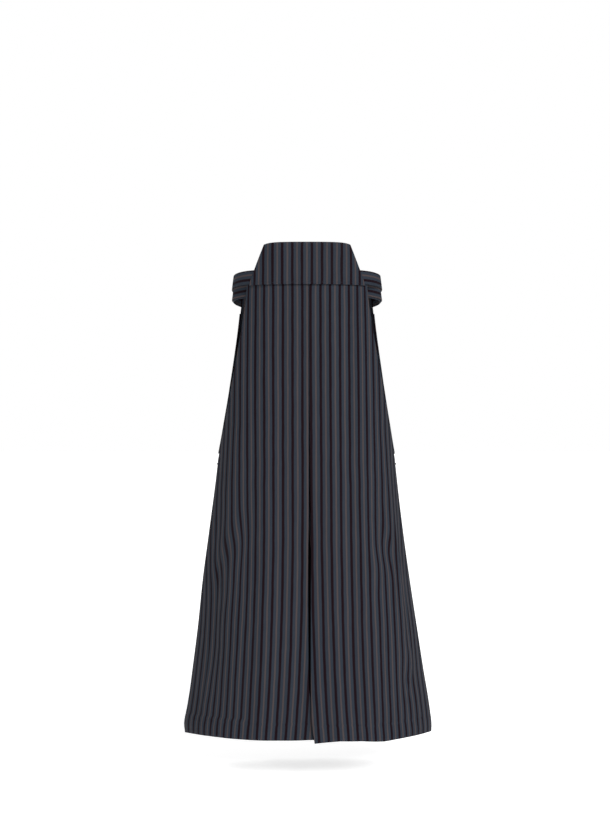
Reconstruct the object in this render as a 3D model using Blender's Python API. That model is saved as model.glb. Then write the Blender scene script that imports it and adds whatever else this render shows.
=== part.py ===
"""Hakama: pleated formal trousers in the form they take when worn.

Metres, +Z up. The origin is the middle of the waist. The wearer faces -Y and the wearer's left is +X.
Each cut piece starts as a flat slab of cloth, a grid of columns and rows with a wall's thickness, and is
then folded to its worn place. A column is a place along the piece's section, a row is a height.
"""

import functools
import math

import bmesh
import bpy

# Cloth
CLOTH = 0.0016  # wall of the leg panels
TIE = 0.0024  # wall of the bands and ties, cloth folded over itself
LAYER = 0.0024  # from the middle of one pleat layer to the next
SEAM = 0.00035  # gap between pieces at a seam
CLEAR = 0.0007  # gap between a tie and what it lies on

# Heights, from the waist
HEM = -0.915  # lower edge at the centre
FRONT_TOP = -0.012  # top edge of the front panels, under the band
BACK_TOP = 0.018  # top edge of the back panels, under the board
SIDE_OPENING = -0.362  # where the side seams end and the side openings start
CROTCH = -0.425  # top of the gussets
CROTCH_SAG = 0.014

# How much lower the hem of a back panel hangs, by the share of the way from the centre to the side seam
HEM_COLUMNS = ("share", "left", "right")
HEM_DROPS = [
    dict(zip(HEM_COLUMNS, row))
    for row in (
        (0.00, 0.0000, 0.0062),
        (0.10, 0.0003, 0.0042),
        (0.20, 0.0010, 0.0018),
        (0.34, 0.0032, 0.0034),
        (0.45, 0.0052, 0.0075),
        (0.51, 0.0066, 0.0092),
        (0.60, 0.0086, 0.0084),
        (0.70, 0.0110, 0.0087),
        (0.82, 0.0145, 0.0104),
        (1.00, 0.0203, 0.0135),
    )
]
FRONT_HEM_POWER = 1.75  # the front hem falls to the side seams on this power of the share

# The garment round the body, by height. Each quarter of a section is |x/half|^flat + |y/depth|^round = 1,
# measured from the crease, the depth of the side seam. A high value of flat makes the front or the back
# flatter, and a low value of round gives the pressed side seams their sharp corner.
BODY_COLUMNS = (
    "z", "half_left", "half_right", "front", "back",
    "flat_front", "flat_left", "flat_right", "round", "crease_left", "crease_right",
)
BODY = [
    dict(zip(BODY_COLUMNS, row))
    for row in (
        (0.100, 0.1345, 0.1345, 0.0965, 0.0975, 2.6, 2.60, 2.60, 2.00, 0.000, 0.000),
        (0.000, 0.1470, 0.1470, 0.1080, 0.1050, 2.6, 2.60, 2.60, 2.00, 0.000, 0.000),
        (-0.120, 0.1625, 0.1620, 0.1220, 0.1140, 2.6, 2.60, 2.70, 1.85, -0.001, -0.001),
        (-0.250, 0.1760, 0.1735, 0.1310, 0.1180, 2.6, 2.55, 2.90, 1.60, -0.003, -0.003),
        (-0.370, 0.1895, 0.1845, 0.1370, 0.1160, 2.6, 2.45, 3.20, 1.30, -0.007, -0.007),
        (-0.506, 0.2085, 0.2003, 0.1420, 0.1120, 2.6, 2.30, 3.60, 1.05, -0.018, -0.016),
        (-0.607, 0.2240, 0.2145, 0.1450, 0.1080, 2.6, 2.40, 4.10, 1.00, -0.048, -0.031),
        (-0.708, 0.2357, 0.2292, 0.1490, 0.1050, 2.6, 2.70, 3.95, 1.00, -0.061, -0.029),
        (-0.800, 0.2475, 0.2435, 0.1535, 0.1040, 2.6, 2.68, 3.65, 1.00, -0.060, -0.037),
        (-0.850, 0.2540, 0.2520, 0.1565, 0.1040, 2.6, 2.60, 3.35, 1.00, -0.058, -0.038),
        (-0.885, 0.2597, 0.2570, 0.1585, 0.1040, 2.6, 2.50, 3.10, 1.00, -0.056, -0.037),
        (-0.915, 0.2652, 0.2603, 0.1600, 0.1040, 2.6, 2.50, 3.10, 1.00, -0.055, -0.036),
        (-0.945, 0.2620, 0.2580, 0.1610, 0.1040, 2.6, 2.50, 3.10, 1.00, -0.054, -0.036),
    )
]
SWAY = 0.0035  # the hem hangs this much to the wearer's right
ARC_STEPS = 128

# The front panels' knife pleats, from the side to the centre: where each fold lies from the centre at the
# waist and the hem, and how much cloth turns back under it there
PLEAT_COLUMNS = ("waist", "hem", "under_waist", "under_hem")
FRONT_PLEATS = {
    "left": (
        (0.0600, 0.1800, 0.020, 0.062),
        (0.0310, 0.0920, 0.020, 0.062),
        (-0.0060, -0.0100, 0.026, 0.066),
    ),
    "right": (
        (0.0600, 0.1800, 0.020, 0.062),
        (0.0310, 0.0920, 0.020, 0.062),
        (0.0040, 0.0060, 0.018, 0.056),
    ),
}
# The back panels have one fold each, at the centre: where it lies by height, and the cloth under it
CENTRE_COLUMNS = ("z", "left", "right")
CENTRE_FOLDS = [
    dict(zip(CENTRE_COLUMNS, row))
    for row in (
        (0.000, -0.0030, 0.0090),
        (-0.480, -0.0013, 0.0062),
        (-0.630, -0.0005, 0.0042),
        (-0.760, -0.0003, 0.0043),
        (-0.815, -0.0010, 0.0047),
        (-0.845, -0.0075, 0.0052),
        (-0.885, -0.0115, 0.0068),
        (-0.920, -0.0140, 0.0120),
    )
]
BACK_UNDER = {"left": {"waist": 0.036, "hem": 0.095}, "right": {"waist": 0.030, "hem": 0.085}}
# Whose centre fold lies under the other's, and the share of the height where the lap starts
LAPPED_UNDER = {"front": ("right", -1.0), "back": ("left", 0.45)}
SUNK_WIDTH = 0.055
SEAM_LEVEL = 5.2 * LAYER  # how deep the centre seams lie
LEG_GAP = 0.030  # from the middle to a gusset at the hem
GUSSET_BOW = 0.003

# Widths of the panels at the waist, from the centre
FRONT_EDGE = 0.160
BACK_EDGE = 0.134

# Soft folds: place from the centre at the top and the bottom, width, height, and the stretch of heights
FOLD_COLUMNS = ("top", "bottom", "wide", "high", "from", "to")
FOLDS = {
    ("back", "left"): (
        (0.160, 0.205, 0.030, 0.0060, -0.28, -0.74),
        (0.205, 0.245, 0.024, -0.0050, -0.42, -0.86),
        (0.075, 0.120, 0.045, 0.0035, -0.30, -1.05),
    ),
    ("back", "right"): (
        (0.175, 0.225, 0.026, 0.0055, -0.30, -0.80),
        (0.135, 0.160, 0.030, -0.0040, -0.40, -1.00),
        (0.060, 0.085, 0.040, 0.0030, -0.35, -1.05),
        (0.012, 0.012, 0.014, 0.0035, -0.80, -1.03),
    ),
    ("front", "left"): (
        (0.115, 0.215, 0.040, 0.0055, -0.20, -1.05),
        (0.155, 0.250, 0.028, -0.0045, -0.35, -0.95),
    ),
    ("front", "right"): (
        (0.120, 0.210, 0.038, 0.0050, -0.25, -1.05),
        (0.160, 0.255, 0.030, -0.0050, -0.30, -0.90),
    ),
}
SEAM_FADE = 0.03  # the folds die away over this length

# Ties and board
BAND_HIGH = 0.040
BAND_FRONT_Z = -0.022  # middle of the band at the centre front
BAND_BACK_Z = 0.010  # middle of the band at the centre back
BAND_END = 0.0005  # where an end of the band lies, as a share of the turn from the centre back
SECOND_TURN_HIGH = 0.034
SECOND_TURN_FRONT_DROP = 0.012
BACK_TIE_HIGH = 0.028
BACK_TIE_FRONT_Z = -0.016
BACK_TIE_BACK_Z = 0.020
BACK_TIE_END = 0.4985  # as a share of the turn
BOARD_HIGH = 0.086
BOARD_FOOT = 0.248  # width of the board's lower edge, measured round its curve
BOARD_HEAD = 0.176
BOARD_WALL = 0.004
BOARD_FOOT_Z = 0.003
BOARD_CROWN = 0.004  # how far the head rises over its corners
BOARD_GAP = 0.0007  # from the board's side to the tie sewn to it
SIDE_FOLD_WIDE = 0.027
KNOT_BAR = {"wide": 0.094, "high": 0.031, "deep": 0.011}
KNOT_UPRIGHT = {"wide": 0.031, "above": 0.018, "below": 0.032}

# Grid of a leg panel
UPPER_ROWS = 5  # above the side openings' lower ends
LOWER_ROWS = 9
ROW_SPREAD = 1.2  # more than 1 sets the upper rows closer together at the waist
SIDE_COLUMNS = {"front": 8, "back": 13}
STRIP_COLUMNS = 5
TURN_COLUMNS = 5
SEAM_COLUMNS = 4

SIDES = {"left": 1.0, "right": -1.0}
FACES = {"front": -1.0, "back": 1.0}


def ramp(value):
    """0 to 1 with a soft start and end."""
    value = min(1.0, max(0.0, value))
    return value * value * (3.0 - 2.0 * value)


def row_value(rows, z, column):
    """One column of a table at a height, on a smooth curve through its rows."""
    z = min(rows[0]["z"], max(rows[-1]["z"], z))
    place = 0
    while place < len(rows) - 2 and z < rows[place + 1]["z"]:
        place += 1
    before = rows[max(0, place - 1)]
    upper = rows[place]
    lower = rows[place + 1]
    after = rows[min(len(rows) - 1, place + 2)]
    step = lower["z"] - upper["z"]
    upper_slope = (lower[column] - before[column]) / (lower["z"] - before["z"])
    lower_slope = (after[column] - upper[column]) / (after["z"] - upper["z"])
    t = (z - upper["z"]) / step
    return (
        upper[column] * (2 * t**3 - 3 * t**2 + 1)
        + upper_slope * step * (t**3 - 2 * t**2 + t)
        + lower[column] * (3 * t**2 - 2 * t**3)
        + lower_slope * step * (t**3 - t**2)
    )


@functools.lru_cache(maxsize=None)
def quarter(face, side, z):
    """A quarter of the section, from the centre to the side seam, as (length so far, x, y) points."""
    half = row_value(BODY, z, f"half_{side}")
    depth = row_value(BODY, z, face)
    flat = row_value(BODY, z, "flat_front" if face == "front" else f"flat_{side}")
    power = row_value(BODY, z, "round")
    crease = row_value(BODY, z, f"crease_{side}")
    rise = depth - FACES[face] * crease
    points = []
    length = 0.0
    for step in range(ARC_STEPS + 1):
        angle = 0.5 * math.pi * (1.0 - step / ARC_STEPS)
        x = half * max(0.0, math.cos(angle)) ** (2.0 / flat)
        y = crease + FACES[face] * rise * max(0.0, math.sin(angle)) ** (2.0 / power)
        if points:
            length += math.hypot(x - points[-1][1], y - points[-1][2])
        points.append((length, x, y))
    return points


def on_quarter(face, side, z, along):
    """The point (x, y) at a length along the quarter, going straight on past its end."""
    points = quarter(face, side, round(z, 4))
    low = 0
    high = len(points) - 1
    while high - low > 1:
        middle = (low + high) // 2
        if points[middle][0] <= along:
            low = middle
        else:
            high = middle
    start = points[low]
    end = points[high]
    t = (along - start[0]) / (end[0] - start[0])
    return start[1] + (end[1] - start[1]) * t, start[2] + (end[2] - start[2]) * t


def full_length(face, side, z):
    """How long the quarter is."""
    return quarter(face, side, round(z, 4))[-1][0]


def fold_height(face, side, z, along):
    """How far the soft folds push the cloth out. They die away before the side seam."""
    out = 0.0
    for row in FOLDS[(face, side)]:
        fold = dict(zip(FOLD_COLUMNS, row))
        t = (z - fold["from"]) / (fold["to"] - fold["from"])
        if 0.0 < t < 1.0:
            middle = fold["top"] + (fold["bottom"] - fold["top"]) * t
            across = (along - middle) / fold["wide"]
            out += fold["high"] * math.exp(-across * across) * math.sin(math.pi * t) ** 0.8
    return out * ramp((full_length(face, side, z) - along) / SEAM_FADE)


def worn_point(face, side, z, along, level):
    """The place at a length from the centre, a level inwards of the section."""
    step = 0.002
    away = abs(along)
    x, y = on_quarter(face, side, z, away)
    near = on_quarter(face, side, z, max(0.0, away - step))
    far = on_quarter(face, side, z, away + step)
    run_x = far[0] - near[0]
    run_y = far[1] - near[1]
    if away < step:
        run_y = 0.0
    length = math.hypot(run_x, run_y)
    out_x = -FACES[face] * run_y / length
    out_y = FACES[face] * run_x / length
    shift = fold_height(face, side, z, away) - level
    x = (x + out_x * shift) * (1.0 if along >= 0.0 else -1.0)
    y = y + out_y * shift
    return x * SIDES[side] - SWAY * ramp(-z / 0.9), y


def leg_gap(z):
    """From the middle to a gusset, nothing above the crotch."""
    down = (CROTCH - z) / (CROTCH - HEM)
    return SEAM / 2 + (LEG_GAP * ramp(0.15 + 0.85 * down) if down > 0.0 else 0.0) * ramp(down * 3.0)


def panel_edge(face, side, z):
    """Where the panel's side edge lies, on the side seam below the opening."""
    whole = full_length(face, side, z)
    if z <= SIDE_OPENING:
        return whole
    waist = FRONT_EDGE if face == "front" else BACK_EDGE
    t = min(1.0, -z / -SIDE_OPENING) if z < 0.0 else 0.0
    return waist + (whole - waist) * t**1.25


def pleat_rows(face, side, z):
    """The panel's pleats at a height: fold place and turned-under depth."""
    t = min(1.0, max(0.0, z / HEM))
    if face == "back":
        under = BACK_UNDER[side]
        return [(row_value(CENTRE_FOLDS, z, side), under["waist"] + (under["hem"] - under["waist"]) * t)]
    rows = []
    for row in FRONT_PLEATS[side]:
        pleat = dict(zip(PLEAT_COLUMNS, row))
        fold = pleat["waist"] + (pleat["hem"] - pleat["waist"]) * t
        under = pleat["under_waist"] + (pleat["under_hem"] - pleat["under_waist"]) * t
        rows.append((fold, under))
    return rows


def panel_section(face, side, z):
    """The section of a panel as (length from the centre, level), from its side edge to the centre seam."""
    edge = panel_edge(face, side, z)
    pleats = pleat_rows(face, side, z)
    under_side, lap_start = LAPPED_UNDER[face]
    sunk = 2.0 * LAYER * ramp((z / HEM - lap_start) / 0.25) if under_side == side else 0.0
    turn = LAYER / 2

    def strip_level(number, along):
        """Each strip comes out from under the one before it and rises to its own fold."""
        level = 0.0
        if number > 0:
            before = pleats[number - 1][0]
            own = pleats[number][0]
            if along >= before:
                return strip_level(number - 1, along) + 2.0 * LAYER
            level = 2.0 * LAYER * ramp((along - own) / (before - own))
        if number == len(pleats) - 1:
            level += sunk * (1.0 - ramp((along - pleats[number][0]) / SUNK_WIDTH))
        return level

    section = []
    start = edge
    for number, (fold, under) in enumerate(pleats):
        count = SIDE_COLUMNS[face] if number == 0 else STRIP_COLUMNS
        for step in range(count):
            along = start + (fold + turn * 3.0 - start) * step / count
            section.append((along, strip_level(number, along)))
        for step in range(TURN_COLUMNS):
            angle = math.pi * step / (TURN_COLUMNS - 1)
            along = fold + turn - turn * math.sin(angle)
            section.append((along, strip_level(number, along) + turn - turn * math.cos(angle)))
        middle = fold + under * 0.5
        section.append((middle, strip_level(number, middle) + LAYER))
        inner = fold + under
        for step in range(TURN_COLUMNS):
            angle = math.pi * step / (TURN_COLUMNS - 1)
            along = inner - turn + turn * math.sin(angle)
            section.append((along, strip_level(number, along) + LAYER + turn - turn * math.cos(angle)))
        if number < len(pleats) - 1:
            section.append((middle, strip_level(number, middle) + 2.0 * LAYER))
        start = fold

    begin = inner - turn
    seam = leg_gap(z)
    for step in range(1, SEAM_COLUMNS + 1):
        along = begin + (seam - begin) * step / SEAM_COLUMNS
        own = strip_level(len(pleats) - 1, along) + 2.0 * LAYER
        section.append((along, own + (SEAM_LEVEL - own) * ramp(step / SEAM_COLUMNS)))
    return section


def hem_height(face, side, share):
    """The hem's height, lower at the side seams."""
    if face == "front":
        return HEM - HEM_DROPS[-1][side] * share**FRONT_HEM_POWER
    place = 0
    while place < len(HEM_DROPS) - 2 and share > HEM_DROPS[place + 1]["share"]:
        place += 1
    inner = HEM_DROPS[place]
    outer = HEM_DROPS[place + 1]
    t = (share - inner["share"]) / (outer["share"] - inner["share"])
    return HEM - inner[side] - (outer[side] - inner[side]) * t


def panel_top(face, share):
    """The top edge's height: it follows the band, higher at the back."""
    if face == "front":
        return FRONT_TOP + 0.006 * share
    return BACK_TOP - 0.008 * share


def folded_wall(middles, thick, first_face=None, last_face=None):
    """Outer and inner points of a wall on each side of its middle line. A face given for an end is the
    direction its end lies in, so that the end stands square to the seam."""
    outer = []
    inner = []
    count = len(middles)
    for place, (x, y) in enumerate(middles):
        before = middles[max(0, place - 1)]
        after = middles[min(count - 1, place + 1)]
        back = (x - before[0], y - before[1])
        ahead = (after[0] - x, after[1] - y)
        if place == 0:
            back = ahead
        if place == count - 1:
            ahead = back
        back_length = math.hypot(*back)
        ahead_length = math.hypot(*ahead)
        back = (back[0] / back_length, back[1] / back_length)
        ahead = (ahead[0] / ahead_length, ahead[1] / ahead_length)
        along = (back[0] + ahead[0], back[1] + ahead[1])
        length = math.hypot(*along)
        along = (along[0] / length, along[1] / length)
        mitre = 1.0 / max(0.6, along[0] * back[0] + along[1] * back[1])
        out = (along[1] * mitre, -along[0] * mitre)
        end_face = first_face if place == 0 else last_face if place == count - 1 else None
        if end_face:
            lean = out[0] * end_face[0] + out[1] * end_face[1]
            out = (end_face[0] / lean, end_face[1] / lean)
        outer.append((x + out[0] * thick / 2, y + out[1] * thick / 2))
        inner.append((x - out[0] * thick / 2, y - out[1] * thick / 2))
    return outer, inner


def cloth_slab(name, columns, rows, place_of):
    """A flat slab of cloth whose every point is moved to its worn place."""
    cloth = bmesh.new()
    bmesh.ops.create_grid(cloth, x_segments=columns - 1, y_segments=rows - 1, size=0.5)
    lifted = bmesh.ops.extrude_face_region(cloth, geom=cloth.faces[:], use_keep_orig=True)
    for item in lifted["geom"]:
        if isinstance(item, bmesh.types.BMVert):
            item.co.z = 1.0
    for vertex in cloth.verts:
        column = round((vertex.co.x + 0.5) * (columns - 1))
        row = round((vertex.co.y + 0.5) * (rows - 1))
        vertex.co = place_of(column, row, vertex.co.z > 0.5)
    bmesh.ops.recalc_face_normals(cloth, faces=cloth.faces[:])
    if cloth.calc_volume(signed=True) < 0.0:
        bmesh.ops.reverse_faces(cloth, faces=cloth.faces[:])
    return finish(name, cloth)


def finish(name, cloth):
    """The bmesh as an object in the scene."""
    mesh = bpy.data.meshes.new(name)
    cloth.to_mesh(mesh)
    cloth.free()
    mesh.shade_smooth()
    mesh.set_sharp_from_angle(angle=math.radians(40.0))
    piece = bpy.data.objects.new(name, mesh)
    bpy.context.scene.collection.objects.link(piece)
    return piece


def row_height(top, hem, row):
    """The height of a row of a leg panel. Below the side openings the panels' rows lie level."""
    if row <= UPPER_ROWS:
        return top + (SIDE_OPENING - top) * (row / UPPER_ROWS) ** ROW_SPREAD
    return SIDE_OPENING + (hem - SIDE_OPENING) * (row - UPPER_ROWS) / LOWER_ROWS


def leg_panel(face, side):
    """One front or back leg panel, pleats and all."""
    columns = len(panel_section(face, side, HEM))
    rows = UPPER_ROWS + LOWER_ROWS + 1
    sections = []
    for row in range(rows):
        middles = []
        heights = []
        guess = panel_section(face, side, row_height(FRONT_TOP, HEM, row))
        for column in range(columns):
            share = abs(guess[column][0]) / guess[0][0]
            height = row_height(panel_top(face, share), hem_height(face, side, share), row)
            along, level = panel_section(face, side, height)[column]
            point = worn_point(face, side, height, along, level)
            middles.append(point)
            heights.append(height)
        middles[0] = seam_end(face, side, heights[0], middles[0])
        outer, inner = folded_wall(middles, CLOTH, first_face=(1.0, 0.0), last_face=(0.0, 1.0))
        sections.append((outer, inner, heights))

    def place_of(column, row, lifted):
        outer, inner, heights = sections[row]
        x, y = (outer if lifted else inner)[column]
        return x, y, heights[column]

    return cloth_slab(f"{face}_{side}", columns, rows, place_of)


def seam_end(face, side, z, point):
    """The side edge stops half a seam's gap short of the other panel."""
    if z > SIDE_OPENING + 0.02:
        return point
    limit = row_value(BODY, z, f"crease_{side}") + FACES[face] * SEAM / 2
    return point[0], max(point[1], limit) if face == "back" else min(point[1], limit)


def gusset(side):
    """The inner wall of a leg, from the front centre seam to the back one."""
    columns = 7
    rows = 9
    inward = SEAM_LEVEL + CLOTH / 2 + SEAM * 2.0

    def place_of(column, row, lifted):
        share = column / (columns - 1)
        sag = CROTCH_SAG * math.sin(math.pi * share)
        top = CROTCH - 0.004 - sag
        z = top + (HEM + 0.002 - top) * row / (rows - 1)
        x = leg_gap(z) + (CLOTH if lifted else 0.0)
        front_y = worn_point("front", side, z, x, inward)[1]
        back_y = worn_point("back", side, z, x, inward)[1]
        bow = GUSSET_BOW * math.sin(math.pi * share) * ramp((top - z) / 0.2)
        y = front_y + (back_y - front_y) * share
        return (x + bow) * SIDES[side] - SWAY * ramp(-z / 0.9), y, z

    return cloth_slab(f"gusset_{side}", columns, rows, place_of)


def side_fold(side):
    """The leaf-shaped fold laid on the front panel's edge at the side opening."""
    columns = 5
    rows = 10
    top = BAND_FRONT_Z - BAND_HIGH / 2 - 0.004
    foot = SIDE_OPENING + 0.020

    sections = []
    for row in range(rows):
        t = row / (rows - 1)
        z = top + (foot - top) * t
        wide = 0.004 + SIDE_FOLD_WIDE * math.sin(math.pi * (0.12 + 0.85 * t)) ** 0.8
        middles = []
        for column in range(columns):
            along = panel_edge("front", side, z) - 0.0005 - wide * column / (columns - 1)
            middles.append(worn_point("front", side, z, along, -CLOTH - CLEAR))
        sections.append((*folded_wall(middles, CLOTH), z))

    def place_of(column, row, lifted):
        outer, inner, z = sections[row]
        x, y = (outer if lifted else inner)[column]
        return x, y, z

    return cloth_slab(f"side_fold_{side}", columns, rows, place_of)


def round_the_waist(count, start, end):
    """Places round the waist as (face, side, share of the quarter), by a turn from the centre back:
    0 is the centre back, 0.5 the centre front, and the wearer's left comes first."""
    places = []
    for step in range(count):
        turn = start + (end - start) * step / (count - 1)
        side = "left" if turn < 0.5 else "right"
        from_back = turn if turn < 0.5 else 1.0 - turn
        if from_back < 0.25:
            places.append(("back", side, from_back / 0.25, from_back))
        else:
            places.append(("front", side, (0.5 - from_back) / 0.25, from_back))
    return places


def waist_strip(name, count, ends_of, height_of, level_of, high):
    """A flat strip round the waist. The ends follow the share of the strip's height above its middle. The
    middle's height and how far out it lies follow the turn."""
    edges = []
    for edge in (0.5, -0.5):
        middles = []
        heights = []
        for face, side, share, from_back in round_the_waist(count, *ends_of(edge)):
            z = height_of(from_back) + high * edge
            along = share * full_length(face, side, z)
            middles.append(worn_point(face, side, z, along, -level_of(from_back)))
            heights.append(z)
        edges.append((*folded_wall(middles, TIE), heights))

    def place_of(column, row, lifted):
        outer, inner, heights = edges[row]
        x, y = (outer if lifted else inner)[column]
        return x, y, heights[column]

    return cloth_slab(name, count, 2, place_of)


OVER_FRONT = CLOTH / 2 + CLEAR + TIE / 2
UNDER_BACK = SEAM_LEVEL + CLOTH / 2 + CLEAR + TIE * 1.5 + CLEAR
TURN_STEP = TIE + CLEAR


def band_level(from_back):
    """The band lies on the front panels and passes under the back panels."""
    return -UNDER_BACK + (OVER_FRONT + UNDER_BACK) * ramp((from_back - 0.150) / 0.085)


def band_height(from_back):
    """The band rises to the back."""
    return BAND_BACK_Z + (BAND_FRONT_Z - BAND_BACK_Z) * ramp(from_back / 0.5)


def band_ends(edge):
    """The ends meet at the centre back."""
    return BAND_END, 1.0 - BAND_END


def front_band():
    """The front waistband, which runs on as the front ties: their first turn."""
    return waist_strip("front_band", 97, band_ends, band_height, band_level, BAND_HIGH)


def front_tie_turn():
    """The second turn of the front ties, a little lower at the front."""

    def height(from_back):
        return band_height(from_back) - SECOND_TURN_FRONT_DROP * ramp((from_back - 0.30) / 0.2)

    def level(from_back):
        return band_level(from_back) + TURN_STEP

    return waist_strip("front_tie_turn", 97, band_ends, height, level, SECOND_TURN_HIGH)


def board_half(up):
    """Half the board's width, measured round its curve, at a share of its height."""
    return (BOARD_FOOT + (BOARD_HEAD - BOARD_FOOT) * up) / 2


def back_tie(side):
    """A back tie, from the board's slanting side round to the centre front."""
    start = 0.25 * (board_half(0.0) + BOARD_GAP) / full_length("back", side, 0.0)

    def ends(edge):
        z = BACK_TIE_BACK_Z + BACK_TIE_HIGH * edge
        up = (z - BOARD_FOOT_Z) / (BOARD_HIGH - BOARD_CROWN)
        first = 0.25 * (board_half(up) + BOARD_GAP) / full_length("back", side, z)
        if side == "left":
            return first, BACK_TIE_END
        return 1.0 - BACK_TIE_END, 1.0 - first

    def height(from_back):
        forward = ramp((from_back - start) / (0.5 - start))
        return BACK_TIE_BACK_Z + (BACK_TIE_FRONT_Z - BACK_TIE_BACK_Z) * forward

    def level(from_back):
        rise = ramp((from_back - 0.150) / 0.085)
        return OVER_FRONT + 2.0 * TURN_STEP * rise

    return waist_strip(f"back_tie_{side}", 41, ends, height, level, BACK_TIE_HIGH)


def back_board():
    """The stiff board at the back, narrower at its head and curved round the waist."""
    columns = 25
    rows = 7
    out = CLOTH / 2 + CLEAR

    def place_of(column, row, lifted):
        across = 2.0 * column / (columns - 1) - 1.0
        up = 1.0 - row / (rows - 1)
        along = abs(across) * board_half(up)
        side = "left" if across >= 0.0 else "right"
        level = -out - (BOARD_WALL if lifted else 0.0)
        crown = BOARD_CROWN * (1.0 - across**8) * ramp((up - 0.7) / 0.3)
        z = BOARD_FOOT_Z + (BOARD_HIGH - BOARD_CROWN) * up + crown
        x, y = worn_point("back", side, z, along, level)
        return x, y, z

    return cloth_slab("back_board", columns, rows, place_of)


def knot_seat(z):
    """How far forward the ties reach at the centre front, at a height."""
    return worn_point("front", "left", z, 0.0, -(OVER_FRONT + 2.0 * TURN_STEP + TIE / 2))[1] - CLEAR


def bar_front():
    """The bar's front face. Its back face rests on the tie's lower edge."""
    return knot_seat(BACK_TIE_FRONT_Z - BACK_TIE_HIGH / 2) - KNOT_BAR["deep"]


def knot_bar():
    """The back ties' ends folded into a flat bar across the centre front."""
    bar = bmesh.new()
    bmesh.ops.create_cube(bar, size=1.0)
    high = KNOT_BAR["high"]
    deep = KNOT_BAR["deep"]
    for vertex in bar.verts:
        vertex.co.x *= KNOT_BAR["wide"]
        vertex.co.y = bar_front() + deep * (vertex.co.y + 0.5)
        vertex.co.z = BACK_TIE_FRONT_Z + vertex.co.z * high
    edges = [edge for edge in bar.edges if abs(edge.verts[0].co.x - edge.verts[1].co.x) < 1e-6]
    bmesh.ops.bevel(bar, geom=edges, offset=0.003, segments=2, profile=0.5, affect="EDGES")
    return finish("knot_bar", bar)


def knot_upright():
    """The tie's end that passes down over the bar and holds it."""
    bar_head = BACK_TIE_FRONT_Z + KNOT_BAR["high"] / 2
    bar_foot = BACK_TIE_FRONT_Z - KNOT_BAR["high"] / 2
    head = bar_head + KNOT_UPRIGHT["above"]
    foot = bar_foot - KNOT_UPRIGHT["below"]
    steps = 19

    middles = []
    for step in range(steps):
        z = head + (foot - head) * step / (steps - 1)
        beyond = max(0.0, z - bar_head, bar_foot - z)
        lift = 1.0 - ramp((beyond - 0.002) / 0.014)
        y = knot_seat(z) + (bar_front() - CLEAR - knot_seat(z)) * lift
        middles.append((y - TIE / 2, z))
    outer, inner = folded_wall(middles, TIE, first_face=(-1.0, 0.0), last_face=(-1.0, 0.0))

    def place_of(column, row, lifted):
        y, z = (outer if lifted else inner)[column]
        return KNOT_UPRIGHT["wide"] * (row - 0.5), y, z

    return cloth_slab("knot_upright", steps, 2, place_of)


def cloth_material(piece, colour):
    """Plain cloth in the piece's own material."""
    material = bpy.data.materials.new(piece.name)
    material.use_nodes = True
    shader = material.node_tree.nodes["Principled BSDF"]
    shader.inputs["Base Color"].default_value = (*colour, 1.0)
    shader.inputs["Roughness"].default_value = 0.8
    shader.inputs["Metallic"].default_value = 0.0
    piece.data.materials.append(material)


def build():
    for item in list(bpy.data.objects):
        bpy.data.objects.remove(item, do_unlink=True)
    pieces = [leg_panel(face, side) for face in FACES for side in SIDES]
    pieces += [gusset(side) for side in SIDES]
    pieces += [side_fold(side) for side in SIDES]
    pieces += [front_band(), front_tie_turn()]
    pieces += [back_tie(side) for side in SIDES]
    pieces += [back_board(), knot_bar(), knot_upright()]
    for piece in pieces:
        cloth_material(piece, (0.038, 0.041, 0.052))


build()
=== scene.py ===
import functools
import math

import bmesh
import bpy
import numpy as np
from mathutils import Matrix, Vector, noise


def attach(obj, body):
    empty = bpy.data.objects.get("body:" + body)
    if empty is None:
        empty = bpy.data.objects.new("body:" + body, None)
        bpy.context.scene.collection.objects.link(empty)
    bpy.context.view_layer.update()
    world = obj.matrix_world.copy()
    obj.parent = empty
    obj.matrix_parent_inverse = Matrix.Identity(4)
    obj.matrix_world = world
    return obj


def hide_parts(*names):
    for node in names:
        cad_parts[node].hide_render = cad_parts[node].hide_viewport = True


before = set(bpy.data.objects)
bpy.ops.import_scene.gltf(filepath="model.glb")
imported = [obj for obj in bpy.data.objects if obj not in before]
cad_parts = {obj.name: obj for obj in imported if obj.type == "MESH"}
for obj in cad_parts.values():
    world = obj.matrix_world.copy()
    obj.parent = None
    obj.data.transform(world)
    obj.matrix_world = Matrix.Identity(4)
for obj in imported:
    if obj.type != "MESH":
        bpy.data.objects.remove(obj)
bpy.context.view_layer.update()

# Metres throughout. The origin is the middle of the waist, the wearer faces -Y and the wearer's left is +X.
# "along" is a length round the body from the centre front or back, "level" a depth inwards.
sides = {"left": 1.0, "right": -1.0}
faces = {"front": -1.0, "back": 1.0}

cloth = {
    "wall": 0.0016,       # the solid wall that each shell stands in
    "shell": 0.0007,      # the woven cloth itself
    "layer": 0.0024,      # from one pleat layer to the next
    "seam": 0.0001,       # between two sewn edges
    "clear": 0.0007,      # between pieces that lie on each other
    "tie": 0.0024,        # the solids of the folded ties and bands
    "tieShell": 0.0022,
}

heights = {
    "hem": -0.915,        # at the centre
    "frontTop": -0.012,   # at the centre, and how much higher at the side
    "frontRise": 0.006,
    "backTop": 0.018,     # at the centre, and how much lower at the side
    "backDrop": 0.008,
    "section": -0.010,    # where the panels' widths at the waist are read
    "opening": -0.362,    # where the side openings end
    "crotch": -0.425,
}


def rowsOf(table, columns):
    return [dict(zip(columns, row)) for row in table]


def mixed(start, end, share):
    return start + (end - start) * share


def ramp(value):
    # from 0 to 1, easing in and out
    value = np.clip(value, 0.0, 1.0)
    return value * value * (3.0 - 2.0 * value)


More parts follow.
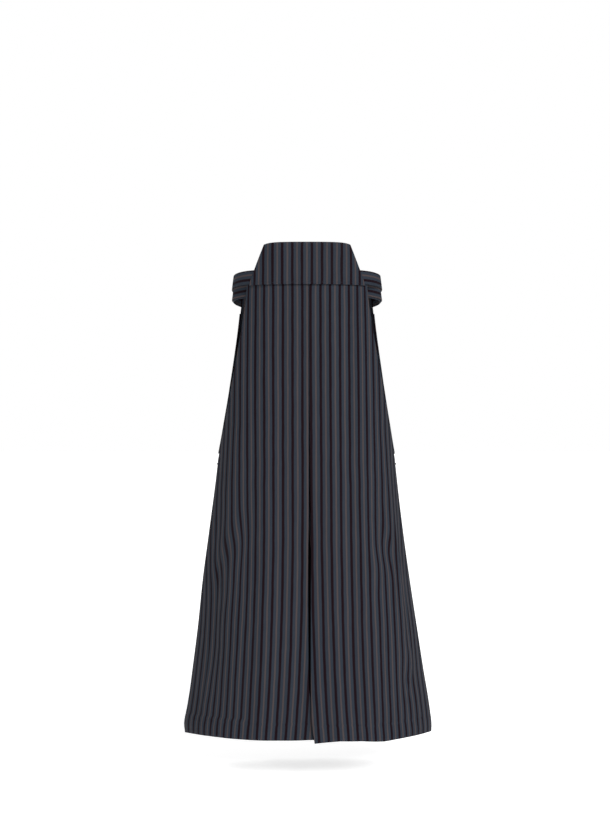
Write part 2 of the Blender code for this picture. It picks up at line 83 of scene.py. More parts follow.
# Sections round the body, by height. In each quarter |x / half|^flat + |y / deep|^round = 1, where "front"
# and "back" are the depths and y is taken from the side crease.
bodyColumns = ("z", "halfLeft", "halfRight", "front", "back", "flatFront", "flatLeft", "flatRight", "round",
               "creaseLeft", "creaseRight")
bodyRows = rowsOf(
    (
        (0.100, 0.1345, 0.1345, 0.0965, 0.0975, 2.6, 2.60, 2.60, 2.00, 0.000, 0.000),
        (0.000, 0.1470, 0.1470, 0.1080, 0.1050, 2.6, 2.60, 2.60, 2.00, 0.000, 0.000),
        (-0.120, 0.1625, 0.1620, 0.1220, 0.1140, 2.6, 2.60, 2.70, 1.85, -0.001, -0.001),
        (-0.250, 0.1760, 0.1735, 0.1310, 0.1180, 2.6, 2.55, 2.90, 1.60, -0.003, -0.003),
        (-0.370, 0.1895, 0.1845, 0.1370, 0.1160, 2.6, 2.45, 3.20, 1.30, -0.007, -0.007),
        (-0.506, 0.2085, 0.2003, 0.1420, 0.1120, 2.6, 2.30, 3.60, 1.05, -0.018, -0.016),
        (-0.607, 0.2240, 0.2145, 0.1450, 0.1080, 2.6, 2.40, 4.10, 1.00, -0.048, -0.031),
        (-0.708, 0.2357, 0.2292, 0.1490, 0.1050, 2.6, 2.70, 3.95, 1.00, -0.061, -0.029),
        (-0.800, 0.2475, 0.2435, 0.1535, 0.1040, 2.6, 2.68, 3.65, 1.00, -0.060, -0.037),
        (-0.850, 0.2540, 0.2520, 0.1565, 0.1040, 2.6, 2.60, 3.35, 1.00, -0.058, -0.038),
        (-0.885, 0.2597, 0.2570, 0.1585, 0.1040, 2.6, 2.50, 3.10, 1.00, -0.056, -0.037),
        (-0.915, 0.2652, 0.2603, 0.1600, 0.1040, 2.6, 2.50, 3.10, 1.00, -0.055, -0.036),
        (-0.945, 0.2620, 0.2580, 0.1610, 0.1040, 2.6, 2.50, 3.10, 1.00, -0.054, -0.036),
    ),
    bodyColumns,
)
sway = {"aside": 0.0035, "over": 0.9}   # the hem hangs this much to the wearer's right, and over what height

# Knife pleats in front, from the side to the centre: fold places at the waist and the hem, and what turns
# under there
pleatColumns = ("waist", "hem", "underWaist", "underHem")
pleats = {
    "left": (
        (0.0600, 0.1800, 0.020, 0.062),
        (0.0310, 0.0920, 0.020, 0.062),
        (-0.0060, -0.0100, 0.026, 0.066),
    ),
    "right": (
        (0.0600, 0.1800, 0.020, 0.062),
        (0.0310, 0.0920, 0.020, 0.062),
        (0.0040, 0.0060, 0.018, 0.056),
    ),
}
# The two folds at the centre back, by height, and what turns under them
centreColumns = ("z", "left", "right")
centreFolds = rowsOf(
    (
        (0.000, -0.0030, 0.0037),
        (-0.200, -0.0026, 0.0041),
        (-0.400, -0.0017, 0.0052),
        (-0.480, -0.0011, 0.0059),
        (-0.540, 0.0002, 0.0059),
        (-0.630, 0.0009, 0.0051),
        (-0.760, 0.0005, 0.0045),
        (-0.815, -0.0010, 0.0047),
        (-0.845, -0.0075, 0.0052),
        (-0.885, -0.0115, 0.0068),
        (-0.920, -0.0140, 0.0120),
    ),
    centreColumns,
)
centreUnder = {"left": {"waist": 0.036, "hem": 0.095}, "right": {"waist": 0.030, "hem": 0.085}}
# How much lower the hem hangs, by the share of the way from the centre back to the side seam
hemColumns = ("share", "left", "right")
hemDrops = rowsOf(
    (
        (0.00, 0.0000, 0.0062), (0.10, 0.0003, 0.0042), (0.20, 0.0010, 0.0018), (0.34, 0.0032, 0.0034),
        (0.45, 0.0052, 0.0075), (0.51, 0.0066, 0.0092), (0.60, 0.0086, 0.0084), (0.70, 0.0110, 0.0087),
        (0.82, 0.0145, 0.0104), (1.00, 0.0203, 0.0135),
    ),
    hemColumns,
)
frontHemBend = 1.75   # how late the front's hem drops on its way to the same seams
# The side that laps under at the centre, from what share of the way down (in front from the top), over what
# share it sinks, and how wide the sunk strip is
lap = {
    "under": {"front": "right", "back": "left"},
    "from": {"front": -1.0, "back": 0.45},
    "over": 0.25,
    "wide": 0.055,
}
# How far a pleat's folded edge stands off the pleat under it at the hem
pleatLift = {"front": 0.0038, "back": 0.0, "wide": 0.016}
# The centre seam and the inner edges of the legs
innerLeg = {
    "level": 5.2 * cloth["layer"],   # how deep inside they lie
    "gap": 0.030,                    # from the middle to a leg's inner edge at the hem
    "start": 0.15,                   # how far up its ramp the gap starts
    "quick": 3.0,                    # how quickly it opens below the crotch
}
# How far from the centre the panels reach at the waist, and how the edges of the side openings bend
waistEdge = {"front": 0.160, "back": 0.134, "bend": 1.25}
sideCrease = {"wide": 0.003, "deep": 0.0008}   # the pressed crease at each side seam

# Soft folds and then finer creases: the path's place from the centre at its top and bottom, width,
# height, the stretch of heights, and how far the path bows sideways
foldColumns = ("top", "bottom", "wide", "high", "from", "to", "bow")
folds = {
    ("back", "left"): (
        (0.160, 0.205, 0.030, 0.0060, -0.28, -0.74, 0.000),
        (0.205, 0.245, 0.024, -0.0050, -0.42, -0.86, 0.000),
        (0.075, 0.120, 0.045, 0.0035, -0.30, -1.05, 0.000),
        (0.156, 0.176, 0.0070, 0.0016, -0.44, -0.62, -0.005),
        (0.180, 0.204, 0.0060, -0.0018, -0.46, -0.70, -0.006),
        (0.200, 0.222, 0.0055, 0.0019, -0.48, -0.72, 0.004),
        (0.218, 0.242, 0.0050, -0.0016, -0.52, -0.80, 0.004),
        (0.226, 0.258, 0.0060, 0.0016, -0.62, -0.92, 0.004),
        (0.248, 0.282, 0.0060, -0.0016, -0.70, -0.94, -0.003),
    ),
    ("back", "right"): (
        (0.175, 0.225, 0.026, 0.0055, -0.30, -0.80, 0.000),
        (0.135, 0.160, 0.030, -0.0040, -0.40, -1.00, 0.000),
        (0.060, 0.085, 0.040, 0.0030, -0.35, -1.05, 0.000),
        (0.012, 0.012, 0.014, 0.0035, -0.80, -1.03, 0.000),
        (0.168, 0.172, 0.0060, 0.0016, -0.44, -0.60, 0.002),
        (0.184, 0.192, 0.0050, 0.0019, -0.45, -0.66, -0.003),
        (0.196, 0.206, 0.0045, -0.0018, -0.46, -0.70, 0.002),
        (0.208, 0.222, 0.0045, 0.0019, -0.46, -0.72, -0.002),
        (0.220, 0.238, 0.0045, -0.0017, -0.50, -0.76, 0.003),
        (0.232, 0.254, 0.0050, 0.0017, -0.54, -0.80, 0.002),
        (0.216, 0.240, 0.0060, -0.0016, -0.74, -0.93, -0.004),
        (0.240, 0.268, 0.0060, 0.0017, -0.74, -0.90, -0.004),
        (0.252, 0.212, 0.0050, 0.0020, -0.74, -0.87, 0.000),
    ),
    ("front", "left"): (
        (0.115, 0.215, 0.040, 0.0055, -0.20, -1.05, 0.000),
        (0.155, 0.250, 0.028, -0.0045, -0.35, -0.95, 0.000),
        (0.150, 0.190, 0.0070, 0.0012, -0.30, -0.55, 0.006),
        (0.200, 0.250, 0.0080, -0.0012, -0.42, -0.75, -0.006),
        (0.240, 0.290, 0.0080, 0.0011, -0.55, -0.88, 0.005),
    ),
    ("front", "right"): (
        (0.120, 0.210, 0.038, 0.0050, -0.25, -1.05, 0.000),
        (0.160, 0.255, 0.030, -0.0050, -0.30, -0.90, 0.000),
        (0.155, 0.200, 0.0075, -0.0012, -0.28, -0.58, 0.005),
        (0.210, 0.255, 0.0070, 0.0013, -0.44, -0.72, 0.004),
        (0.235, 0.285, 0.0080, -0.0011, -0.60, -0.90, -0.005),
    ),
}
foldEnds = 0.8    # how bluntly a fold dies away at its ends
seamFade = 0.03   # folds die away over this stretch beside a side seam
# Slow and fine unevenness of the hanging cloth: its size, where each face's pattern starts, the steps of its
# table, and the height below the waist over which it comes
ripple = {
    "across": 0.055, "down": 0.34, "high": 0.0012,
    "fineAcross": 0.016, "fineDown": 0.085, "fineHigh": 0.00025,
    "start": {"front": 3.0, "back": 11.0},
    "rowStep": 0.006, "columnStep": 0.004,
    "over": 0.25,
}

# A repeat of the stripes, and how far apart the strips between a panel's pleats lie on its map
weave = {"repeat": 0.0197, "skip": 0.35}
# What part of a repeat lies along the middle of the small cuts
cutFrom = {"tie": 0.3, "board": 0.5, "bar": 0.75, "upright": 0.2}
# Where the first dark stripe lies from the centre back: at the top, how much farther out it is at the
# hem, and how late that comes
firstStripe = {
    "left": {"top": 0.0098, "spread": 0.0178, "bend": 4.2},
    "right": {"top": 0.0072, "spread": 0.0136, "bend": 5.4},
}
# Where the cloth is drawn sideways: the spot's place and height, how far towards the centre, how wide and
# long it is, and how it leans
drawColumns = ("place", "height", "aside", "wide", "long", "lean")
draws = {
    ("back", "left"): (
        (0.166, -0.545, 0.0080, 0.028, 0.060, -0.40),
        (0.222, -0.550, -0.0085, 0.022, 0.050, -0.45),
        (0.195, -0.630, 0.0036, 0.026, 0.040, -0.30),
        (0.170, -0.770, -0.0010, 0.040, 0.070, 0.00),
        (0.240, -0.775, 0.0040, 0.022, 0.065, -0.10),
    ),
    ("back", "right"): (
        (0.156, -0.700, -0.0034, 0.028, 0.170, 0.00),
        (0.150, -0.572, -0.0040, 0.018, 0.036, 0.00),
        (0.178, -0.542, 0.0085, 0.018, 0.036, -0.15),
        (0.230, -0.762, -0.0038, 0.024, 0.030, 0.00),
        (0.236, -0.812, 0.0040, 0.026, 0.032, 0.00),
    ),
    ("front", "left"): (
        (0.170, -0.550, 0.0025, 0.030, 0.060, -0.30),
        (0.215, -0.560, -0.0025, 0.025, 0.060, -0.30),
        (0.200, -0.800, -0.0015, 0.030, 0.070, 0.00),
    ),
    ("front", "right"): (
        (0.160, -0.560, -0.0022, 0.030, 0.060, 0.20),
        (0.220, -0.610, 0.0024, 0.028, 0.060, 0.00),
        (0.190, -0.780, 0.0012, 0.030, 0.080, 0.00),
    ),
}

# Points down a panel, and across its first strip, the others, each turn, what lies under, and to the seam
panelGrid = {"rows": 118, "front": 44, "back": 66, "strip": 20, "turn": 7, "under": 8, "seam": 12}
# The hem, turned up inside, and the rises of the rows of points beside it
hemTurn = {
    "high": 0.032,
    "between": 0.0008,   # from one layer to the other
    "steps": 4,
    "takes": 1.1,        # the cloth in it, for each height of it
    "above": 0.008,      # from the first of the rises to the even rows
    "rises": (0.042, 0.038, 0.035, 0.033, 0.031, 0.029, 0.026, 0.020, 0.012, 0.004, 0.0),
}
# The dimples of the blind stitching, and the longer beat at which it pulls the stripes
hemStitch = {"step": 0.018, "wide": 0.003, "deep": 0.0008, "pull": 0.0009, "pullSteps": 1.7}
# How far the turned hem is pulled sideways, dying away towards the centre
hemSkew = {"left": -0.0030, "right": 0.0008, "above": 0.011, "over": 0.008, "from": 0.110, "to": 0.150}
# The tables that wornPoints reads: their steps and ends, the points on each curve, and how far apart a
# direction is read
curve = {
    "length": 0.001, "height": 0.002,
    "top": 0.104, "foot": -0.960, "reach": 0.44,
    "steps": 400, "apart": 0.002,
}


def gridOf(*parts):
    return np.stack(np.broadcast_arrays(*parts), -1)


def runOf(steps):
    # how far along a row of points each one lies, from the steps between them
    return np.concatenate([[0.0], np.cumsum(steps)])


def rowValue(rows, z, column):
    # a smooth curve through the rows
    z = min(rows[0]["z"], max(rows[-1]["z"], z))
    place = 0
    while place < len(rows) - 2 and z < rows[place + 1]["z"]:
        place += 1
    before = rows[max(0, place - 1)]
    upper = rows[place]
    lower = rows[place + 1]
    after = rows[min(len(rows) - 1, place + 2)]
    step = lower["z"] - upper["z"]
    upperSlope = (lower[column] - before[column]) / (lower["z"] - before["z"])
    lowerSlope = (after[column] - upper[column]) / (after["z"] - upper["z"])
    t = (z - upper["z"]) / step
    return (
        upper[column] * (2 * t**3 - 3 * t**2 + 1)
        + upperSlope * step * (t**3 - 2 * t**2 + t)
        + lower[column] * (3 * t**2 - 2 * t**3)
        + lowerSlope * step * (t**3 - t**2)
    )


@functools.cache
def quarterCurves(face, side):
    # x and y on a quarter of the body at every height and length, and how long each quarter is
    zs = np.arange(curve["top"], curve["foot"], -curve["height"])
    lengths = np.arange(0.0, curve["reach"], curve["length"])
    xs = np.empty((len(zs), len(lengths)))
    ys = np.empty_like(xs)
    full = np.empty(len(zs))
    angle = 0.5 * np.pi * (1.0 - np.linspace(0.0, 1.0, curve["steps"]))
    for row, z in enumerate(zs):
        crease = rowValue(bodyRows, z, f"crease{side.title()}")
        flat = rowValue(bodyRows, z, "flatFront" if face == "front" else f"flat{side.title()}")
        rise = np.maximum(0.0, np.sin(angle)) ** (2.0 / rowValue(bodyRows, z, "round"))
        x = rowValue(bodyRows, z, f"half{side.title()}") * np.maximum(0.0, np.cos(angle)) ** (2.0 / flat)
        y = crease + faces[face] * (rowValue(bodyRows, z, face) - faces[face] * crease) * rise
        run = runOf(np.hypot(np.diff(x), np.diff(y)))
        full[row] = run[-1]
        # past the side crease the cloth runs straight on
        ahead = np.array([x[-1] - x[-4], y[-1] - y[-4]])
        ahead /= np.hypot(*ahead)
        past = np.maximum(0.0, lengths - run[-1])
        xs[row] = np.interp(lengths, run, x) + ahead[0] * past
        ys[row] = np.interp(lengths, run, y) + ahead[1] * past
    return xs, ys, zs, full


def between(values, row, column):
    # reads a table of values between its rows and columns, kept just inside the last ones
    row = np.clip(row, 0.0, values.shape[0] - 1.001)
    column = np.clip(column, 0.0, values.shape[1] - 1.001)
    r, c = row.astype(int), column.astype(int)
    down, across = row - r, column - c
    upper = values[r, c] * (1 - across) + values[r, c + 1] * across
    lower = values[r + 1, c] * (1 - across) + values[r + 1, c + 1] * across
    return upper * (1 - down) + lower * down


def fullLength(face, side, z):
    zs, full = quarterCurves(face, side)[2:]
    return np.interp(-np.asarray(z, float), -zs, full)


def foldHeight(face, side, z, along):
    out = np.zeros_like(z)
    for fold in rowsOf(folds[(face, side)], foldColumns):
        t = np.clip((z - fold["from"]) / (fold["to"] - fold["from"]), 0.0, 1.0)
        arch = np.sin(np.pi * t)
        middle = mixed(fold["top"], fold["bottom"], t) + fold["bow"] * arch
        out += fold["high"] * np.exp(-(((along - middle) / fold["wide"]) ** 2)) * arch**foldEnds
    return out


@functools.cache
def rippleTable(face):
    start = ripple["start"][face]
    table = []
    for z in np.arange(curve["top"], curve["foot"], -ripple["rowStep"]):
        table.append([])
        for length in np.arange(-curve["reach"], curve["reach"], ripple["columnStep"]):
            slow = noise.noise(Vector((length / ripple["across"], z / ripple["down"], start)))
            fine = noise.noise(Vector((length / ripple["fineAcross"], z / ripple["fineDown"], -start)))
            table[-1].append(ripple["high"] * slow + ripple["fineHigh"] * fine)
    return np.array(table)


def swayed(z):
    return sway["aside"] * ramp(-z / sway["over"])


def wornPoints(face, side, z, along, level):
    # world places of heights, lengths from the centre and levels inwards
    z, along, level = (np.array(v, float) for v in np.broadcast_arrays(z, along, level))
    xs, ys = quarterCurves(face, side)[:2]
    away = np.abs(along)
    before, after = np.maximum(0.0, away - curve["apart"]), away + curve["apart"]
    row = (curve["top"] - z) / curve["height"]
    here, near, far = (v / curve["length"] for v in (away, before, after))
    x, y = between(xs, row, here), between(ys, row, here)
    runX = between(xs, row, far) - between(xs, row, near)
    runY = np.where(away < curve["apart"], 0.0, between(ys, row, far) - between(ys, row, near))
    length = np.hypot(runX, runY)
    rippleRow = (curve["top"] - z) / ripple["rowStep"]
    rippleColumn = (along * sides[side] + curve["reach"]) / ripple["columnStep"]
    uneven = between(rippleTable(face), rippleRow, rippleColumn) * ramp(-z / ripple["over"])
    toSeam = ramp((fullLength(face, side, z) - away) / seamFade)   # the seams themselves hang even
    shift = (foldHeight(face, side, z, away) + uneven) * toSeam - level
    x = (x - faces[face] * runY / length * shift) * np.where(along >= 0.0, 1.0, -1.0)
    y = y + faces[face] * runX / length * shift
    return x * sides[side] - swayed(z), y


def legGap(z):
    # from the middle to a leg's inner edge
    down = (heights["crotch"] - z) / (heights["crotch"] - heights["hem"])
    gap = np.where(down > 0.0, innerLeg["gap"] * ramp(mixed(innerLeg["start"], 1.0, down)), 0.0)
    return cloth["seam"] / 2 + gap * ramp(down * innerLeg["quick"])


def panelEdge(face, side, z):
    # on the side seam below the opening, nearer the centre above it
    t = np.clip(z / heights["opening"], 0.0, 1.0)
    return mixed(waistEdge[face], fullLength(face, side, z), t ** waistEdge["bend"])


def pleatFolds(face, side, z, t):
    # where each fold lies at a height, and how much turns under it
    if face == "back":
        under = centreUnder[side]
        return [(rowValue(centreFolds, z, side), mixed(under["waist"], under["hem"], t))]
    return [
        (mixed(pleat["waist"], pleat["hem"], t), mixed(pleat["underWaist"], pleat["underHem"], t))
        for pleat in rowsOf(pleats[side], pleatColumns)
    ]


@functools.cache
def panelSection(face, side, z):
    # lengths from the centre, levels, and places across the flat cloth, from the side edge to the centre seam
    t = min(1.0, max(0.0, z / heights["hem"]))
    rows = pleatFolds(face, side, z, t)
    layer, bend = cloth["layer"], cloth["layer"] / 2
    angles = [math.pi * step / (panelGrid["turn"] - 1) for step in range(panelGrid["turn"])]
    sunk = 2.0 * layer * ramp((t - lap["from"][face]) / lap["over"]) if lap["under"][face] == side else 0.0
    stripe = firstStripe[side]
    backStripe = stripe["top"] + stripe["spread"] * t ** stripe["bend"]

    def stripLevel(number, along):
        level = 0.0
        if number > 0:
            before, own = rows[number - 1][0], rows[number][0]
            if along >= before:
                return stripLevel(number - 1, along) + 2.0 * layer
            level = 2.0 * layer * ramp((along - own) / (before - own))
        if number == len(rows) - 1:
            level += sunk * (1.0 - ramp((along - rows[number][0]) / lap["wide"]))
        return level

    def lifted(fold, along):
        return -pleatLift[face] * t * math.exp(-(((along - fold) / pleatLift["wide"]) ** 2))

    points = []
    start = float(panelEdge(face, side, z))
    for number, (fold, under) in enumerate(rows):
        inner = fold + under
        # the stripes follow the fold in front, and a line of their own at the back
        first = -weave["skip"] * number - (fold if face == "front" else backStripe)
        # the strip that shows
        count = panelGrid[face] if number == 0 else panelGrid["strip"]
        for step in range(count):
            along = start + (fold + 1.5 * bend - start) * step / count
            points.append((along, stripLevel(number, along) + lifted(fold, along), first + along))
        # it turns at the fold and runs back under itself
        for angle in angles:
            along = fold + bend - bend * math.sin(angle)
            level = stripLevel(number, along) + bend - bend * math.cos(angle) + lifted(fold, along)
            points.append((along, level, first + fold + bend * (1.0 - angle)))
        flat = points[-1][2]
        for step in range(1, panelGrid["under"]):
            along = fold + bend + (under - 2.0 * bend) * step / panelGrid["under"]
            level = stripLevel(number, along) + layer + lifted(fold, along)
            points.append((along, level, flat + fold + bend - along))
        # it turns again at the pleat's inner edge, and runs on under the next strip
        for angle in angles:
            along = inner - bend + bend * math.sin(angle)
            level = stripLevel(number, along) + layer + bend - bend * math.cos(angle)
            points.append((along, level, flat + fold - inner + bend * (2.0 - angle)))
        if number < len(rows) - 1:
            for step in range(1, panelGrid["under"] + 1):
                along = inner - bend + (fold - inner + bend) * step / (panelGrid["under"] + 1)
                flat = first - weave["skip"] + along
                points.append((along, stripLevel(number, along) + 2.0 * layer, flat))
        start = fold

    # the last stretch goes to the centre seam
    number = len(rows) - 1
    begin = inner - bend
    seam = float(legGap(z))
    flat = points[-1][2]
    for step in range(1, panelGrid["seam"] + 1):
        share = step / panelGrid["seam"]
        along = mixed(begin, seam, share)
        own = stripLevel(number, along) + 2.0 * layer
        points.append((along, mixed(own, innerLeg["level"], ramp(share)), flat + along - begin))
    return np.array(points)


def drawnAside(face, side, z, along):
    aside = np.zeros(len(along))
    for draw in rowsOf(draws[(face, side)], drawColumns):
        down = z - draw["height"]
        across = along - draw["place"] - draw["lean"] * down
        aside += draw["aside"] * np.exp(-((across / draw["wide"]) ** 2) - (down / draw["long"]) ** 2)
    return aside


def panelRow(face, side, z, foot):
    # one row of a panel, whose points may stand at different heights
    upper = panelSection(face, side, float(z.max()))
    lower = panelSection(face, side, float(z.min()))
    share = ((z.max() - z) / max(1e-6, float(z.max() - z.min())))[:, None]
    along, level, flat = (upper * (1 - share) + lower * share).T
    # pressed to a rounded crease at the side seam
    edge = np.clip(1.0 - (fullLength(face, side, z) - along) / sideCrease["wide"], 0.0, 1.0)
    level = level + sideCrease["deep"] * edge**2
    # dimpled and pulled by the hem's sewing
    sewn = foot + hemTurn["high"]
    stitched = np.exp(-(((z - sewn) / hemStitch["wide"]) ** 2))
    beat = 2.0 * np.pi * flat / hemStitch["step"]
    level = level + hemStitch["deep"] * stitched * np.maximum(0.0, np.cos(beat)) ** 2
    flat = flat + hemStitch["pull"] * stitched * np.sin(beat / hemStitch["pullSteps"])
    pulled = ramp((along - hemSkew["from"]) / (hemSkew["to"] - hemSkew["from"]))
    flat = flat + hemSkew[side] * pulled * ramp((sewn + hemSkew["above"] - z) / hemSkew["over"])
    flat = flat + drawnAside(face, side, z, along)
    x, y = wornPoints(face, side, z, along, level)
    return gridOf(x, y, z), gridOf(flat, z)


def hemHeight(face, side, share):
    if face == "front":
        return heights["hem"] - hemDrops[-1][side] * share**frontHemBend
    drops = [[row[column] for row in hemDrops] for column in ("share", side)]
    return heights["hem"] - np.interp(share, *drops)


def panelTop(face, share):
    if face == "front":
        return heights["frontTop"] + heights["frontRise"] * share
    return heights["backTop"] - heights["backDrop"] * share


def rightSide(row):
    # the direction square to a row of points, in plan
    run = np.gradient(row[:, :2], axis=0)
    run /= np.maximum(1e-9, np.hypot(run[:, 0], run[:, 1]))[:, None]
    return gridOf(run[:, 1], -run[:, 0], 0.0)


def addObject(name, data):
    thing = bpy.data.objects.new(name, data)
    bpy.context.scene.collection.objects.link(thing)
    return thing


def shapeObject(name, shape):
    mesh = bpy.data.meshes.new(name)
    shape.to_mesh(mesh)
    shape.free()
    mesh.shade_smooth()
    return addObject(name, mesh)


roundedEdge = {"steps": 3, "angle": 50.0}   # of the pieces that have a rim


def wearCloth(name, points, flat, wall, rim=0.0, turned=False):
    # a flat cut whose points go to their worn places, and keep their flat places as the UV map
    rows, columns = points.shape[:2]
    cut = bmesh.new()
    bmesh.ops.create_grid(cut, x_segments=columns - 1, y_segments=rows - 1, size=0.5)

    def cell(place):
        return round((0.5 - place.y) * (rows - 1)), round((place.x + 0.5) * (columns - 1))

    uv = cut.loops.layers.uv.new("weave")
    for corner in (corner for patch in cut.faces for corner in patch.loops):
        corner[uv].uv = flat[cell(corner.vert.co)]
    for vertex in cut.verts:
        vertex.co = points[cell(vertex.co)]
    if turned:
        bmesh.ops.reverse_faces(cut, faces=cut.faces[:])
    piece = shapeObject(name, cut)
    shell = piece.modifiers.new("wall", "SOLIDIFY")
    shell.thickness = wall
    shell.offset = 0.0
    if rim:
        edge = piece.modifiers.new("edge", "BEVEL")
        edge.width = rim
        edge.segments = roundedEdge["steps"]
        edge.limit_method = "ANGLE"
        edge.angle_limit = math.radians(roundedEdge["angle"])
    return piece


def finishPiece(piece, node, material):
    piece.data.materials.append(material)
    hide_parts(node)
    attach(piece, "root")


def legPanel(face, side, material):
    top = panelSection(face, side, heights["section"])[:, 0]
    foot = panelSection(face, side, heights["hem"])[:, 0]
    top = panelTop(face, np.abs(top) / top[0])
    foot = hemHeight(face, side, np.abs(foot) / foot[0])
    facing = sides[side] * faces[face]
    rows = []
    lowest = foot + hemTurn["rises"][0] + hemTurn["above"]
    for share in np.linspace(0.0, 1.0, panelGrid["rows"]):
        rows.append(panelRow(face, side, mixed(top, lowest, share), foot))
    for rise in hemTurn["rises"]:
        rows.append(panelRow(face, side, foot + rise, foot))
    # the cloth turns up inside the hem
    last, lastFlat = rows[-1]
    radius = hemTurn["between"] / 2
    for step in range(1, hemTurn["steps"] + 1):
        angle = math.pi * step / hemTurn["steps"]
        place = last - rightSide(last) * facing * radius * (1.0 - math.cos(angle))
        place[:, 2] -= radius * math.sin(angle)
        rows.append((place, lastFlat - (0.0, radius * angle)))
    for rise in [rise for rise in hemTurn["rises"][-2::-1] if rise <= hemTurn["high"]]:
        place, flat = panelRow(face, side, foot + rise, foot)
        place -= rightSide(place) * facing * hemTurn["between"]
        rows.append((place, flat - (0.0, 2.0 * rise)))
    points = np.array([place for place, flat in rows])
    flats = np.array([flat for place, flat in rows])
    piece = wearCloth(f"panel_{face}_{side}", points, flats, cloth["shell"], turned=facing < 0.0)
    finishPiece(piece, f"{face}_{side}", material)


# The inner leg wall, hung from under the crotch to just above the hem and bowed a little outwards
gussetCut = {
    "columns": 25, "rows": 80,
    "under": 0.004, "sag": 0.014, "overHem": 0.002,
    "bow": 0.003, "bowOver": 0.2,
}


def gusset(side, material):
    share = np.linspace(0.0, 1.0, gussetCut["columns"])[None, :]
    down = np.linspace(0.0, 1.0, gussetCut["rows"])[:, None]
    inward = innerLeg["level"] + cloth["wall"] / 2 + cloth["seam"] * 2.0
    top = heights["crotch"] - gussetCut["under"] - gussetCut["sag"] * np.sin(np.pi * share)
    z = mixed(top, heights["hem"] + gussetCut["overHem"], down)
    x = legGap(z) + cloth["wall"] / 2
    frontY = wornPoints("front", side, z, x, inward)[1]
    backY = wornPoints("back", side, z, x, inward)[1]
    y = mixed(frontY, backY, share)
    bow = gussetCut["bow"] * np.sin(np.pi * share) * ramp((top - z) / gussetCut["bowOver"])
    points = gridOf((x + bow) * sides[side] - swayed(z), y, z)
    piece = wearCloth(f"gusset_cloth_{side}", points, gridOf(y, z), cloth["shell"], turned=side == "right")
    finishPiece(piece, f"gusset_{side}", material)


# The leaf-shaped fold laid on the front panel's edge at the side opening: its outline is a stretch of a sine
sideFold = {
    "wide": 0.027, "heel": 0.004,
    "cut": 0.032,                             # the flat width
    "underBand": 0.004, "overEnd": 0.020,     # its ends, from the waistband and from the opening's end
    "leafStart": 0.12, "leafLong": 0.85, "leafBlunt": 0.8,
    "fromEdge": 0.0005,
    "thick": 0.0014, "edge": 0.0005,
    "columns": 13, "rows": 60,
}


def sideFoldPoints(side, across, down):
    # across 0 is the free edge of the opening, 1 the fold's inner edge
    top = band["frontZ"] - band["high"] / 2 - sideFold["underBand"]
    z = mixed(top, heights["opening"] + sideFold["overEnd"], down)
    leaf = np.sin(np.pi * (sideFold["leafStart"] + sideFold["leafLong"] * down)) ** sideFold["leafBlunt"]
    wide = sideFold["heel"] + sideFold["wide"] * leaf
    along = panelEdge("front", side, z) - sideFold["fromEdge"] - wide * across
    x, y = wornPoints("front", side, z, along, -cloth["wall"] - cloth["clear"])
    return gridOf(x, y, z), gridOf(along, z)


def layFold(side, material):
    across = np.linspace(0.0, 1.0, sideFold["columns"])[None, :]
    down = np.linspace(0.0, 1.0, sideFold["rows"])[:, None]
    points, flat = sideFoldPoints(side, across, down)
    piece = wearCloth(f"opening_fold_{side}", points, flat, sideFold["thick"], rim=sideFold["edge"],
                      turned=side == "left")
    finishPiece(piece, f"side_fold_{side}", material)


# Front waistband, whose ends run on as the front ties: two turns round the waist. The back ties go over them.
# Ends are places round the waist, as roundWaist counts them.
band = {"high": 0.040, "frontZ": -0.022, "backZ": 0.010, "end": 0.0005, "rows": 9, "columns": 241}
secondTurn = {"high": 0.034, "frontDrop": 0.012, "dropFrom": 0.30, "dropOver": 0.2, "columns": 241}
backTie = {"high": 0.028, "frontZ": -0.016, "backZ": 0.020, "end": 0.4985, "columns": 121}
tieEdge = 0.0009
# The ties' surface is uneven round the waist and across, and their height wanders
tieWave = {
    "round": 14.0, "across": 1.2, "high": 0.00022,
    "slackRound": 9.0, "slackStart": 4.0, "slack": 0.0006,
}
# The stretch round the side where the ties come out from under the back panels, or rise over the first turns
sideStretch = {"from": 0.150, "over": 0.085}
turnStep = cloth["tie"] + cloth["clear"]
overFront = cloth["wall"] / 2 + cloth["clear"] + cloth["tie"] / 2
underBack = innerLeg["level"] + overFront + turnStep   # there is room for the second turn outside it


def bandLevel(fromBack):
    # over the front panels, and under the back panels
    return mixed(-underBack, overFront, ramp((fromBack - sideStretch["from"]) / sideStretch["over"]))


def turnLevel(fromBack):
    return bandLevel(fromBack) + turnStep


def backTieLevel(fromBack):
    return overFront + 2.0 * turnStep * ramp((fromBack - sideStretch["from"]) / sideStretch["over"])


def bandHeight(fromBack):
    return mixed(band["backZ"], band["frontZ"], ramp(fromBack / 0.5))


def turnHeight(fromBack):
    dropped = ramp((fromBack - secondTurn["dropFrom"]) / secondTurn["dropOver"])
    return bandHeight(fromBack) - secondTurn["frontDrop"] * dropped


def roundWaist(around, z, level):
    # around runs from the centre back, 0, over the wearer's left to the centre front, 0.5, and on to 1
    around, z, level = (np.array(v, float) for v in np.broadcast_arrays(around, z, level))
    fromBack = np.minimum(around, 1.0 - around)
    x, y = np.empty_like(z), np.empty_like(z)
    for face in faces:
        share = fromBack / 0.25 if face == "back" else (0.5 - fromBack) / 0.25
        for side in sides:
            here = ((fromBack < 0.25) == (face == "back")) & ((around < 0.5) == (side == "left"))
            if here.any():
                along = share[here] * fullLength(face, side, z[here])
                x[here], y[here] = wornPoints(face, side, z[here], along, -level[here])
    return x, y


